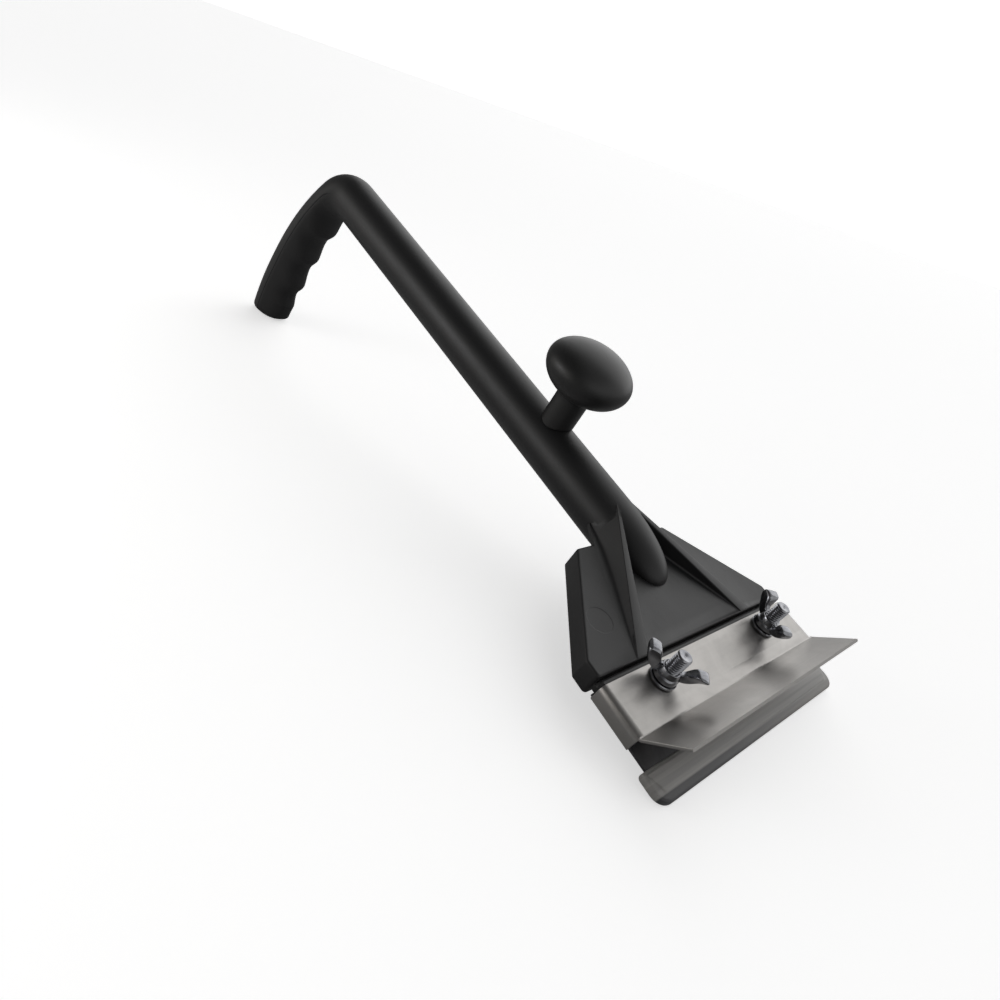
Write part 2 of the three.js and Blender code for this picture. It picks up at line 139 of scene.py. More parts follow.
# %% [markdown]
# Small parts are joined and cut as solids, the way a die or a drill would do it. The Boolean modifier does that on
# closed skins, and its result is kept as a plain mesh, so no helper object is left in the scene.

# %% Solids joined and cut, then made into pieces
scene = bpy.context.scene
SHARP = math.radians(32)


def loose(points_and_faces, name="helper"):
    """A helper object, not yet a piece of the tool."""
    made = bpy.data.objects.new(name, mesh_of(name, *points_and_faces))
    scene.collection.objects.link(made)
    return made


def combined(first, others, operation):
    """first joined with the others (UNION) or cut by them (DIFFERENCE); the others are used up."""
    for other in others:
        work = first.modifiers.new(operation.title(), "BOOLEAN")
        work.operation = operation
        work.solver = "MANIFOLD"
        work.object = other
        bpy.context.view_layer.update()
        graph = bpy.context.evaluated_depsgraph_get()
        result = bpy.data.meshes.new_from_object(first.evaluated_get(graph))
        print("   ", operation, first.name, len(first.data.vertices), "->", len(result.vertices))
        first.modifiers.clear()
        first.data = result
        bpy.data.objects.remove(other)
    return first


def piece(made, name, body, material, stands_for=(), sharp=SHARP):
    """Names a finished object, smooths it between its sharp edges, and hangs it on its body."""
    made.name = name
    made.data.name = name
    made.data.materials.clear()
    made.data.materials.append(material)
    made.data.shade_smooth()
    made.data.set_sharp_from_angle(angle=sharp)
    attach(made, body)
    if stands_for:
        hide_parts(*stands_for)
    tris = sum(len(face.vertices) - 2 for face in made.data.polygons)
    print(f"{name}: {len(made.data.vertices)} points, {tris} triangles, on {body}")
    return made


# %% [markdown]
# Materials share a few small helpers. Colours are written as the hex values a colour picker gives and turned to
# linear light. One function adds any node with its settings and links. Patterns are laid out in millimetres in the
# tool's level frame, so a Mapping node turns the object's own coordinates back level and scales them. Most values
# of a noise pattern lie between 0.3 and 0.7, so a Map Range node that follows one usually starts from those.

# %% Helpers for materials
def linear(hex_colour):
    """sRGB hex to linear RGBA: below 0.04045 divide by 12.92, above it ((v + 0.055) / 1.055) ** 2.4."""
    values = [int(hex_colour[k:k + 2], 16) / 255 for k in (1, 3, 5)]
    return tuple(v / 12.92 if v <= 0.04045 else ((v + 0.055) / 1.055) ** 2.4 for v in values) + (1.0,)


def connect(node, inputs):
    """Gives each input of a node a plain value, or a link from an output. A node stands for its first output that
    is in use."""
    for key, value in inputs.items():
        if isinstance(value, bpy.types.Node):
            value = next(output for output in value.outputs if output.enabled)
        if isinstance(value, bpy.types.NodeSocket):
            node.id_data.links.new(value, node.inputs[key])
        else:
            node.inputs[key].default_value = value


def add(tree, kind, inputs=None, **settings):
    """Adds one node: settings are its own values, inputs say what each input is given."""
    made = tree.nodes.new("ShaderNode" + kind)
    for key, value in settings.items():
        setattr(made, key, value)
    connect(made, inputs or {})
    return made


def new_material(name, **shader):
    """A material with one Principled shader, whose fixed values are set on its own sockets."""
    made = bpy.data.materials.new(name)
    made.use_nodes = True
    tree = made.node_tree
    tree.nodes.clear()
    surface = add(tree, "BsdfPrincipled", {key.replace("_", " "): value for key, value in shader.items()})
    output = add(tree, "OutputMaterial", {"Surface": surface})
    return made, tree, surface, output


def level_mm(tree, stretch=(1, 1, 1)):
    """The tool's level coordinates in mm: Object coordinates turned by the tilt and scaled by 1000, then each
    axis divided by its stretch, so that a pattern of unit size is that many mm long."""
    place = add(tree, "TexCoord").outputs["Object"]
    turned = add(tree, "Mapping", {
        "Vector": place,
        "Location": (0.0, -(SHIFT_Y * COS + SHIFT_Z * SIN) / 1000, (SHIFT_Y * SIN - SHIFT_Z * COS) / 1000),
        "Rotation": (-TILT, 0.0, 0.0),
    })
    return add(tree, "Mapping", {"Vector": turned, "Scale": tuple(1000 / s for s in stretch)})


print(f"mid grey #808080 is {linear('#808080')[0]:.3f} in linear light")

# %% [markdown]
# ## Finishes
# The handle is black nylon, injection moulded in a fine spark-eroded tool. That gives a dark satin skin: broad,
# soft reflections, a very fine grain, and slow changes of gloss where the melt flowed. Handling leaves faint
# paler scuffs. The grain of the real skin is about 0.1 mm; it is drawn at 0.45 mm, as fine as can show.

# %% Moulded black nylon
FLOW_MM, SCUFF_MM = (38.0, 83.6, 38.0), (2.2, 9.0, 2.2)


def moulded_plastic(name, dark, pale, roughness, grain_mm, grain_depth):
    """The colour is dark, and pale where it is scuffed. The roughness follows the melt's flow and is a little more
    in the scuffs, and the grain is a bump of grain_depth mm."""
    made, tree, surface, _ = new_material(name, IOR=1.53, Specular_IOR_Level=0.5)
    flow, scuffs, grain = (
        add(tree, "TexNoise", {"Vector": level_mm(tree, size), "Scale": 1.0, "Detail": detail,
                               "Roughness": fineness, "Distortion": twist})
        for size, detail, fineness, twist in ((FLOW_MM, 3.0, 0.55, 0.0), (SCUFF_MM, 6.0, 0.7, 1.1),
                                              ((grain_mm,) * 3, 2.0, 0.6, 0.0)))
    worn = add(tree, "MapRange", {"Value": scuffs, "From Min": 0.62, "From Max": 0.78})
    colour = add(tree, "Mix", {"Factor": worn, "A": linear(dark), "B": linear(pale)}, data_type="RGBA")
    flowed = add(tree, "MapRange", {"Value": flow, "From Min": 0.3, "From Max": 0.7, "To Min": roughness - 0.05,
                                    "To Max": roughness + 0.06})
    rubbed = add(tree, "MapRange", {"Value": scuffs, "From Min": 0.55, "From Max": 0.8, "To Max": 0.09})
    rough = add(tree, "Math", {0: flowed, 1: rubbed}, operation="ADD")
    relief = add(tree, "Bump", {"Height": grain, "Distance": grain_depth / 1000, "Strength": 0.6})
    connect(surface, {"Base Color": colour, "Roughness": rough, "Normal": relief})
    return made, tree, surface, relief


nylon, nylon_tree, nylon_surface, nylon_relief = moulded_plastic(
    "moulded_black_nylon", "#111112", "#1d1d1e", 0.46, 0.45, 0.03)
knob_plastic = moulded_plastic("polished_black_nylon", "#111111", "#1b1b1b", 0.4, 0.6, 0.01)[0]
PIN_MARK, PIN_RADIUS, PIN_DEPTH = (-44.8, 18.8, 0.0), 5.6, 0.12  # where a round ejector pin left a faint disc
from_pin = add(nylon_tree, "VectorMath", {0: level_mm(nylon_tree, (1, 1, 1e6)), 1: PIN_MARK},
               operation="DISTANCE")
pin_edge = add(nylon_tree, "MapRange", {"Value": from_pin, "From Min": PIN_RADIUS - 0.3,
                                        "From Max": PIN_RADIUS + 0.3}, interpolation_type="SMOOTHSTEP")
pin_relief = add(nylon_tree, "Bump", {"Height": pin_edge, "Distance": PIN_DEPTH / 1000, "Normal": nylon_relief})
connect(nylon_surface, {"Normal": pin_relief})
print("finishes:", nylon.name, knob_plastic.name)

# %% [markdown]
# The guard is cold-rolled stainless sheet in its mill finish: a dull mirror with faint lines along the rolling
# direction, here across the tool, and patches of handling haze. Metals keep the default IOR; their colour is the
# base colour. The studs, nuts and washers are steel with bright zinc plate, a little bluer and shinier. The blade
# and its clamp bar are hardened strip steel, blued dark, with ground lines along the edge.

# %% Metals
def worked_metal(name, pale, dark, roughness, lines_mm, line_depth, haze_mm=14, haze=0.07):
    """Patches of haze run from pale to dark and spread the roughness by haze; the lines of the last working add a
    little to it, and a bump of line_depth mm."""
    made, tree, surface, _ = new_material(name, Metallic=1.0)
    lines, patches = (
        add(tree, "TexNoise", {"Vector": level_mm(tree, size), "Scale": 1.0, "Detail": detail,
                               "Roughness": fineness, "Distortion": twist})
        for size, detail, fineness, twist in ((lines_mm, 4.0, 0.6, 0.0), ((haze_mm,) * 3, 5.0, 0.65, 0.6)))
    tone = add(tree, "MapRange", {"Value": patches, "From Min": 0.3, "From Max": 0.7})
    colour = add(tree, "Mix", {"Factor": tone, "A": linear(pale), "B": linear(dark)}, data_type="RGBA")
    hazy = add(tree, "MapRange", {"Value": patches, "From Min": 0.3, "From Max": 0.7,
                                  "To Min": roughness - haze / 2, "To Max": roughness + haze / 2})
    lined = add(tree, "MapRange", {"Value": lines, "From Min": 0.3, "From Max": 0.7, "To Min": -0.03,
                                   "To Max": 0.04})
    rough = add(tree, "Math", {0: hazy, 1: lined}, operation="ADD")
    relief = add(tree, "Bump", {"Height": lines, "Distance": line_depth / 1000, "Strength": 0.5})
    connect(surface, {"Base Color": colour, "Roughness": rough, "Normal": relief})
    return made


stainless = worked_metal("rolled_stainless_sheet", "#adaaa7", "#a2a09d", 0.36, (40.0, 0.6, 0.6), 0.0012)
zinc = worked_metal("bright_zinc_plate", "#a6a7aa", "#7e7f84", 0.18, (1.2, 1.2, 1.2), 0.01, haze_mm=4)
blade_steel = worked_metal("blued_strip_steel", "#6c6c6e", "#505052", 0.34, (18.0, 0.35, 0.35), 0.006)
brass = worked_metal("turned_brass", "#c39a52", "#9c7a3c", 0.3, (4.0, 4.0, 0.25), 0.01)
print("metals:", ", ".join(m.name for m in (stainless, zinc, blade_steel, brass)))

# %% [markdown]
# The blade cover is soft smoke-grey vinyl, extruded and slightly cloudy. Light goes in and comes out dulled, so it
# is a rough transmitting shader over a grey body colour, with long faint die lines across the tool. The solid
# front rim is coloured darker as painted shade.

# %% Smoked vinyl
PANEL_EDGE = -40.0  # y where the solid front rim ends and the thin panel over the pocket begins
vinyl, vinyl_tree, vinyl_surface, _ = new_material("smoked_vinyl", IOR=1.5, Transmission_Weight=0.15)
die_lines, streaks = (
    add(vinyl_tree, "TexNoise", {"Vector": level_mm(vinyl_tree, size), "Scale": 1.0, "Detail": detail,
                                 "Roughness": 0.6})
    for size, detail in (((60.0, 0.9, 0.9), 4.0), ((70.0, 1.6, 30.0), 3.0)))
spot = add(vinyl_tree, "SeparateXYZ", {"Vector": level_mm(vinyl_tree)}).outputs
streaky = add(vinyl_tree, "MapRange", {"Value": streaks, "From Min": 0.35, "From Max": 0.68})
thin = add(vinyl_tree, "Mix", {"Factor": streaky, "A": linear("#949290"), "B": linear("#acaaa6")}, data_type="RGBA")
# Painted shade on the solid front rim: dark grey at the left, fading to a paler grey towards the right end, where
# the light falls.
painted_shade_across = add(vinyl_tree, "MapRange", {"Value": spot["X"], "From Min": -20.0, "From Max": 45.0})
rim = add(vinyl_tree, "Mix", {"Factor": painted_shade_across, "A": linear("#454547"), "B": linear("#8d8a86")}, data_type="RGBA")
on_panel = add(vinyl_tree, "MapRange", {"Value": spot["Y"], "From Min": PANEL_EDGE - 0.3,
                                        "From Max": PANEL_EDGE + 0.3})
tone = add(vinyl_tree, "Mix", {"Factor": on_panel, "A": rim, "B": thin}, data_type="RGBA")
dull = add(vinyl_tree, "MapRange", {"Value": die_lines, "From Min": 0.3, "From Max": 0.7, "To Min": 0.27,
                                    "To Max": 0.42})
relief = add(vinyl_tree, "Bump", {"Height": die_lines, "Distance": 0.03 / 1000, "Strength": 0.6})
connect(vinyl_surface, {"Base Color": tone, "Roughness": dull, "Normal": relief})
print("cover finish:", vinyl.name)

# %% [markdown]
# ## The handle
# The handle is one moulding. Its bar, from the pointed nose on the head through the shaft and the bend to the end
# of the grip, is one skin: oval rings stand across a centre line, and their size changes from ring to ring. The
# finger side of the grip has three crests between hollows. Each ring is a superellipse: its points are
# sign(cos a) |cos a| ** (2 / n) across and the same with the sine sideways, and n = 2 gives an ellipse.

# %% The bar's centre line and section sizes
RADIUS, AXIS_Z, PITCH = 12.4, -0.7, math.radians(0.4)  # the shaft, whose axis rises a little towards the rear
NOSE_TIP, NOSE_LENGTH = 23.2, 36.0
BEND_START, BEND_RADIUS, BEND_TURN = 303.0, 19.0, math.radians(54)
GRIP_RADIUS, GRIP_STEP, GRIP_FULL = 196.0, 0.6, 75.0  # the grip's slow curve, and where it reaches its full size
FRONT_DEPTH, FRONT_GAIN, SIDE_LOSS, SQUARE_GAIN = 10.5, 10.0, 3.6, 0.5
FIRST_HOLLOW, HOLLOW_LENGTH, HOLLOW_DEPTH = 22.5, 24.5, 3.8
LEVEL_FROM, LEVEL_OVER = 28.0, 24.0  # heights over which the rings turn level with the grip's flat end
END_ROUND, FINGER_EASE, END_FACE = 4.0, 3.4, -math.pi - TILT
COVER_BOTTOM, COVER_FRONT = -9.8, -43.1


def axis_height(y):
    """Height of the shaft's axis: AXIS_Z plus y times the slope."""
    return AXIS_Z + math.tan(PITCH) * y


def floor_height(y):
    """Height of the floor, which runs through the cover's lower front edge and falls by tan(TILT)."""
    return COVER_BOTTOM - math.tan(TILT) * (y - COVER_FRONT)


def bar_stations():
    """Rows of y, z, direction to the finger side, depth in front, depth behind, half width and squareness n. The
    nose is half an ellipsoid, the bend a circle's arc, and a hollow falls as |sin| ** 1.4 between its crests."""
    rows = []
    down = -math.pi / 2 + PITCH
    for part in np.linspace(0.004, 1, 26)[:-1]:
        share = math.cos(math.pi / 2 * part)
        y = NOSE_TIP + NOSE_LENGTH * (1 - share)
        size = RADIUS * math.sqrt(1 - share ** 2)
        rows.append((y, axis_height(y), down, size, size, RADIUS * (1 - share ** 2.4) ** (1 / 2.4), 2.0))
    for y in np.linspace(NOSE_TIP + NOSE_LENGTH, BEND_START, 34):
        rows.append((y, axis_height(y), down, RADIUS, RADIUS, RADIUS, 2.0))
    centre_y, centre_z = BEND_START, axis_height(BEND_START) - BEND_RADIUS
    for turned in np.linspace(0, BEND_TURN, 27)[1:]:
        rows.append((centre_y + BEND_RADIUS * math.sin(turned), centre_z + BEND_RADIUS * math.cos(turned),
                     -math.pi / 2 - turned, RADIUS, RADIUS, RADIUS, 2.0))
    big_y = rows[-1][0] - GRIP_RADIUS * math.sin(BEND_TURN)
    big_z = rows[-1][1] - GRIP_RADIUS * math.cos(BEND_TURN)
    for run in np.arange(GRIP_STEP, 200, GRIP_STEP):
        turned = BEND_TURN + run / GRIP_RADIUS
        y = big_y + GRIP_RADIUS * math.sin(turned)
        z = big_z + GRIP_RADIUS * math.cos(turned)
        above = z - floor_height(y)
        if above < END_ROUND:
            break
        share = min(run / GRIP_FULL, 1)
        share = share * share * (3 - 2 * share) * 0.35 + share * 0.65
        wave = (run - FIRST_HOLLOW) / HOLLOW_LENGTH
        dip = HOLLOW_DEPTH * abs(math.sin(math.pi * wave)) ** 1.4 if -1 < wave < 3 else 0.0
        across = -math.pi / 2 - turned
        level = min(max((LEVEL_FROM - above) / LEVEL_OVER, 0), 1)
        rows.append((y, z, across + (END_FACE - across) * level, FRONT_DEPTH + FRONT_GAIN * share - dip,
                     RADIUS, RADIUS - SIDE_LOSS * share, 2 + SQUARE_GAIN * share))
    y, z, _, front, back, half, square = rows[-1]
    drop = z - floor_height(y)
    for angle in np.linspace(0, math.pi / 2, 9)[1:]:
        shrink = END_ROUND * (1 - math.cos(angle))
        rows.append((y, z - drop * math.sin(angle), END_FACE,
                     front - FINGER_EASE * shrink, back - shrink, half - shrink, square))
    return np.array(rows)


# %% The bar's skin, with the fine parting groove of the mould along the sides of the grip
def bar_skin(stations, sides=92):
    """Ring points at even angles, plus close ones where front and back halves meet. There a groove runs along the
    bend and the grip: its depth is 0.35 mm times exp(-(distance / 0.35) ** 2)."""
    close = np.array([-0.04, -0.025, -0.012, -0.005, 0.0, 0.005, 0.012, 0.025, 0.04])
    even = np.linspace(0, 2 * math.pi, sides, endpoint=False)
    even = even[np.abs(np.cos(even)) > 0.05]
    angles = np.sort(np.concatenate([even, math.pi / 2 + close, 3 * math.pi / 2 + close]))
    y, z, to, front, back, half, square = (column[:, None] for column in stations.T)
    cos, sin = np.cos(angles)[None, :], np.sin(angles)[None, :]
    depth = np.sign(cos) * np.abs(cos) ** (2 / square)
    side = np.sign(sin) * np.abs(sin) ** (2 / square)
    reach = np.where(depth > 0, front, back) * depth
    on_grip = np.clip(-(to + math.pi / 2 + 0.35) / 0.3, 0, 1)
    groove = 0.35 * np.exp(-(reach / 0.35) ** 2) * on_grip
    x = half * side - np.sign(side) * groove
    return skin(np.stack([x + 0 * reach, y + reach * np.cos(to), z + reach * np.sin(to)], axis=2))


stations = bar_stations()
bar = loose(bar_skin(stations), "bar")
print("bar stations:", len(stations), "points:", len(bar.data.vertices))

# %% [markdown]
# The mould of a grip is etched with a fine matt texture on the sides and the finger side, so that it doesn't
# slip, and the back is left plain. So within a few millimetres of the grip's centre line the nylon turns rougher,
# and its colour is made darker there as painted shade: the distance from the middle of the grip's arc tells the two
# zones apart.

# %% The matt texture of the grip's sides, with painted shade on them
GRIP_PAINTED_SHADE, ETCHED_ROUGH = "#08080a", 0.8
bend_end = stations[len(stations) - 1 - int(np.argmax(stations[::-1, 3] == RADIUS))]
arc_middle = (0.0, float(bend_end[0] - GRIP_RADIUS * math.sin(BEND_TURN)),
              float(bend_end[1] - GRIP_RADIUS * math.cos(BEND_TURN)))
from_middle = add(nylon_tree, "VectorMath", {0: level_mm(nylon_tree, (1e6, 1, 1)), 1: arc_middle},
                  operation="DISTANCE")
inside = add(nylon_tree, "MapRange", {"Value": from_middle, "From Min": GRIP_RADIUS + 2.5,
                                      "From Max": GRIP_RADIUS - 3.5}, interpolation_type="SMOOTHSTEP")
along_bar = add(nylon_tree, "SeparateXYZ", {"Vector": level_mm(nylon_tree)}).outputs["Y"]
past_bend = add(nylon_tree, "MapRange", {"Value": along_bar, "From Min": BEND_START - 2,
                                         "From Max": BEND_START + 14}, interpolation_type="SMOOTHSTEP")
matt_and_painted_shade = add(nylon_tree, "Math", {0: inside, 1: past_bend}, operation="MULTIPLY")
# The zone's darker colour is painted shade; its higher roughness is the real matt texture.
for socket, kind, etched_and_painted_shade in (("Base Color", "RGBA", linear(GRIP_PAINTED_SHADE)), ("Roughness", "FLOAT", ETCHED_ROUGH)):
    plain = nylon_surface.inputs[socket].links[0].from_socket
    zone = add(nylon_tree, "Mix", {"Factor": matt_and_painted_shade, "A": plain, "B": etched_and_painted_shade}, data_type=kind)
    connect(nylon_surface, {socket: zone})
print("grip arc turns about", [round(v, 1) for v in arc_middle])

# %% [markdown]
# The head is a flat plate with a thinner tongue in front, parted from it by a moulded groove. Plates here are
# drawn from their corners: each corner becomes an arc about a fixed centre, and the outline is pulled in along the
# top and bottom edges to round them. One more ring just inside the rounding keeps the flat faces flat to the eye.

# %% Plates with rounded corners and edges
def outline(corners, radius, inset, steps=6):
    """A convex outline, corners anticlockwise. An arc's centre lies radius inside both sides, at corner minus
    radius (n1 + n2) / (1 + n1 . n2), and its points lie (radius - inset) from the centre, from n1 round to n2."""
    corners = np.asarray(corners, float)
    before = corners - np.roll(corners, 1, axis=0)
    after = np.roll(corners, -1, axis=0) - corners
    n1 = np.stack([before[:, 1], -before[:, 0]], axis=1) / np.linalg.norm(before, axis=1, keepdims=True)
    n2 = np.stack([after[:, 1], -after[:, 0]], axis=1) / np.linalg.norm(after, axis=1, keepdims=True)
    centre = corners - radius * (n1 + n2) / (1 + (n1 * n2).sum(axis=1, keepdims=True))
    start = np.arctan2(n1[:, 1], n1[:, 0])
    turn = (np.arctan2(n2[:, 1], n2[:, 0]) - start) % (2 * math.pi)
    angles = start[:, None] + turn[:, None] * np.linspace(0, 1, steps + 1)[None, :]
    arcs = centre[:, None, :] + (radius - inset) * np.stack([np.cos(angles), np.sin(angles)], axis=2)
    return arcs.reshape(-1, 2)


def plate(corners, low, high, radius, edge, steps=5, support=0.25):
    """A plate from low to high: quarter-round edges of size edge, top and bottom."""
    turns = np.linspace(0, math.pi / 2, steps)
    levels = [(edge + support, low)] + [(edge * (1 - math.sin(a)), low + edge * (1 - math.cos(a))) for a in turns]
    levels += [(inset, low + high - z) for inset, z in reversed(levels)]
    rings = [np.column_stack([flat := outline(corners, radius, inset), np.full(len(flat), z)])
             for inset, z in levels]
    return skin(np.array(rings))


def box(x0, x1, y0, y1, z0, z1, radius=0.0, edge=0.0):
    """A block; with a radius its upright corners are rounded, and with an edge its top and bottom edges too."""
    corners = [(x0, y0), (x1, y0), (x1, y1), (x0, y1)]
    if edge > 0:
        return plate(corners, z0, z1, max(radius, edge + 0.3), edge)
    if radius > 0:
        flat = outline(corners, radius, 0)
        return skin(np.array([np.column_stack([flat, np.full(len(flat), z)]) for z in (z0, z1)]))
    return skin(np.array([[(x, y, z) for x, y in corners] for z in (z0, z1)]))


def turned(profile, x=0.0, y=0.0, sides=48, loop=False):
    """A profile of (radius, z) turned about the upright axis at (x, y). A loop profile, such as a ring's section,
    closes on itself; an open one is closed at both ends by fans, so it starts and ends near the axis."""
    profile = np.asarray(profile, float)
    angle = np.linspace(0, 2 * math.pi, sides, endpoint=False)
    radius, z = profile[:, :1], profile[:, 1:]
    rings = np.stack([x + radius * np.cos(angle), y + radius * np.sin(angle), z + 0 * angle], axis=2)
    return skin(rings, loop)


def drill(profile, x, y, sides=32):
    """A cutter for a round hole: the profile's (radius, z) pairs, closed by a flat end at top and bottom."""
    return loose(turned([(AXIS, profile[0][1]), *profile, (AXIS, profile[-1][1])], x, y, sides))


AXIS, HOLE = 0.01, 3.3  # how near its axis a turned shape starts, and the radius of a clearance hole for M6
HEAD = [(-63, 0), (63, 0), (63, 7.1), (29.7, 49.7), (-29.7, 49.7), (-63, 7.1)]
HEAD_BOTTOM = -10.6
TONGUE = (-62.1, 62.1, -22.3, 4.0, -7.1, -0.8)
GROOVE = (-64.0, 64.0, -1.5, 0.02, -4.5, 1.0)
head = loose(plate(HEAD, HEAD_BOTTOM, 0, 1.6, 0.9), "head")
head = combined(head, [loose(box(*TONGUE, 1.0, 0.5))], "UNION")
head = combined(head, [loose(box(*GROOVE))], "DIFFERENCE")
print("head plate and tongue:", len(head.data.polygons), "faces")

# %% [markdown]
# Two ribs brace the shaft against the head. A rib's inner wall is upright and its outer wall leans, so its top is
# a wedge: 7 mm wide where it dies out at the front edge, and 2 mm where it meets the shaft. Each ring is the rib's
# cross-section, with a hollow fillet at each foot and a small rounding on each top edge.

# %% Ribs from the front edge of the head up to the shaft
RIB_FRONT, RIB_REAR = (0.6, 33.9, 7.2, 0.3), (60.0, 2.4, 9.8, 11.4)  # y, inner wall x, width at the root, height
DRAFT, SUNK = 0.68, -2.0  # how much the outer wall leans, and how far the rib's root goes into the head


def rib_skin(sign, rows=40, steps=5):
    """Sections from front to rear, whose four sizes change evenly. The fillets and the edge shrink with the
    height: 0.5, 0.42 and 0.4 of it at most."""
    a = np.linspace(0, math.pi / 2, steps)
    rings = []
    for share in np.linspace(0, 1, rows):
        y, inner, root, high = np.array(RIB_FRONT) * (1 - share) + np.array(RIB_REAR) * share
        foot = inner + root
        outer = foot - DRAFT * high
        inside = min(1.0, 0.5 * high)
        outside = min(2.6, 0.42 * high, 0.4 + 9 * (1 - share))
        edge = min(0.5, 0.4 * high)
        flat = np.vstack([
            [[inner - inside, SUNK]],
            np.column_stack([inner - inside + inside * np.sin(a), inside * (1 - np.cos(a)) - 0.02]),
            np.column_stack([inner + edge * (1 - np.cos(a)), high - edge * (1 - np.sin(a))]),
            np.column_stack([outer - edge * (1 - np.sin(a)), high - edge * (1 - np.cos(a))]),
            np.column_stack([foot - DRAFT * outside + (1 + DRAFT) * outside * (1 - np.cos(a)),
                             outside * (1 - np.sin(a)) - 0.02]),
            [[foot + outside, SUNK]],
        ])
        rings.append(np.column_stack([sign * flat[:, 0], np.full(len(flat), y), flat[:, 1]]))
    return skin(np.array(rings))


ribs = [loose(rib_skin(sign)) for sign in (-1, 1)]
print("ribs:", len(ribs), "of", len(ribs[0].data.vertices), "points")

# %% The handle: bar, head and ribs joined, the underside levelled, holes cut
KNOB_Y, COUNTERBORE = 108.5, 10.0
KNOB_BASE = axis_height(KNOB_Y)
UNDER = KNOB_BASE - RADIUS
handle = combined(bar, [loose(box(-40, 40, 0, 73.7, -40, HEAD_BOTTOM))], "DIFFERENCE")
handle = combined(handle, [head, *ribs], "UNION")
bores = [drill([(HOLE, -9), (HOLE, 1)], x, BOLT_Y) for x in BOLTS.values()]
bores.append(drill([(6.4, UNDER - 3), (6.4, UNDER + COUNTERBORE), (HOLE, UNDER + COUNTERBORE), (HOLE, UNDER + 40)],
                   0, KNOB_Y, 40))
handle = combined(handle, bores, "DIFFERENCE")
piece(handle, "handle", "tool", nylon, ["handle_moulding"], math.radians(38))

# %% [markdown]
# ## The side knob
# A mushroom knob on a short round stem, for the second hand. It is a turned shape, apart from the foot of the
# stem, which is hollowed to sit on the round shaft: there the height is sqrt(12.7 ** 2 - x ** 2). A bolt comes up
# through the shaft into a brass insert inside the knob.

# %% The knob
STEM, STEM_TOP, FILLET, SADDLE = 7.7, 25.2, 2.5, 12.7
CROWN_RADIUS, CROWN_MIDDLE, CROWN_RISE, CROWN_DROP = 20.2, 39.6, 11.4, 13.0
INSERT, INSERT_LOW, INSERT_HIGH, INSERT_GAP = 4.5, 25.0, 37.0, 0.3


def knob_skin(sides=96):
    """Rings round the upright axis: the saddle outwards, up the stem, a fillet, then the crown's lower and upper
    half ellipses, with radius R cos(a) and height H sin(a)."""
    angle = np.linspace(0, 2 * math.pi, sides, endpoint=False)
    rings = []
    for radius in (0.05, 2.0, 4.0, 6.0, STEM - 0.5, STEM):
        x = radius * np.cos(angle)
        saddle = np.sqrt(SADDLE ** 2 - x ** 2) + (0.25 if radius == STEM else 0.0)
        rings.append(np.stack([x, radius * np.sin(angle), saddle], axis=1))
    meets = math.asin((STEM + FILLET) / CROWN_RADIUS)
    low = CROWN_MIDDLE - CROWN_DROP * math.cos(meets)
    profile = [(STEM, 14.0), (STEM, 20.0), (STEM, STEM_TOP - 0.7)]
    profile += [(STEM + FILLET * (1 - math.cos(a)), STEM_TOP + (low - STEM_TOP) * math.sin(a))
                for a in np.linspace(0.15, math.pi / 2, 7)]
    for a in np.linspace(meets + 0.05 - math.pi / 2, math.pi / 2 - 0.004, 54):
        high = (CROWN_RISE if a > 0 else CROWN_DROP) * math.sin(a)
        profile.append((CROWN_RADIUS * math.cos(a), CROWN_MIDDLE + high))
    for radius, z in profile:
        rings.append(np.stack([radius * np.cos(angle), radius * np.sin(angle), np.full(sides, z)], axis=1))
    return skin(np.array(rings) + [0, KNOB_Y, KNOB_BASE])


knob = loose(knob_skin(), "knob")
bore = [(HOLE, 5.0), (HOLE, INSERT_LOW - INSERT_GAP), (INSERT + INSERT_GAP, INSERT_LOW - INSERT_GAP),
        (INSERT + INSERT_GAP, INSERT_HIGH + INSERT_GAP)]
knob = combined(knob, [drill([(radius, KNOB_BASE + z) for radius, z in bore], 0, KNOB_Y, 40)], "DIFFERENCE")
piece(knob, "knob", "tool", knob_plastic, ["side_knob"])

# %% [markdown]
# ## Screws, washers and wing nuts
# The thread is real geometry: on a fine grid round and along the stud, the radius falls from crest to root as
# z / pitch - angle / (2 pi) runs through each whole number. M6 has a 1 mm pitch and about 0.6 mm of depth.

# %% Threaded studs
THREAD = 3.0


def screw_skin(profile, thread, x, y, sides=48, step=0.11, crest=0.1):
    """profile gives the radius against z as pairs (z, radius) going up; thread is (from z, to z, depth). The
    radius falls by a triangle wave of z - angle / (2 pi), with its tops and bottoms cut flat by crest."""
    profile = np.asarray(profile, float)
    low, high, depth = thread
    heights = [profile[0, 0]]
    for (z0, _), (z1, _) in zip(profile[:-1], profile[1:]):
        steps = max(1, int(round((z1 - z0) / step))) if z1 > low and z0 < high else 1
        heights += list(np.linspace(z0, z1, steps + 1)[1:])
    z = np.array(heights)[:, None]
    angle = np.linspace(0, 2 * math.pi, sides, endpoint=False)[None, :]
    plain = np.interp(z, profile[:, 0], profile[:, 1])
    phase = (z - angle / (2 * math.pi)) % 1.0
    root = np.clip((1 - np.abs(2 * phase - 1) - crest) / (1 - 2 * crest), 0, 1)
    fade = np.clip((z - low) / 0.8, 0, 1) * np.clip((high - z) / 0.8, 0, 1)
    radius = np.where((z > low) & (z < high), np.minimum(plain, THREAD - depth * root * fade), plain)
    return skin(np.stack([x + radius * np.cos(angle), y + radius * np.sin(angle), z + 0 * angle], axis=2))


def hexagon(across, x, y, z0, z1):
    """A hexagonal bar from z0 to z1: its corners lie across / sqrt(3) from its middle."""
    angle = np.arange(6) * math.pi / 3
    flat = np.column_stack([x + across / math.sqrt(3) * np.cos(angle), y + across / math.sqrt(3) * np.sin(angle)])
    return skin(np.array([np.column_stack([flat, np.full(6, z)]) for z in (z0, z1)]))


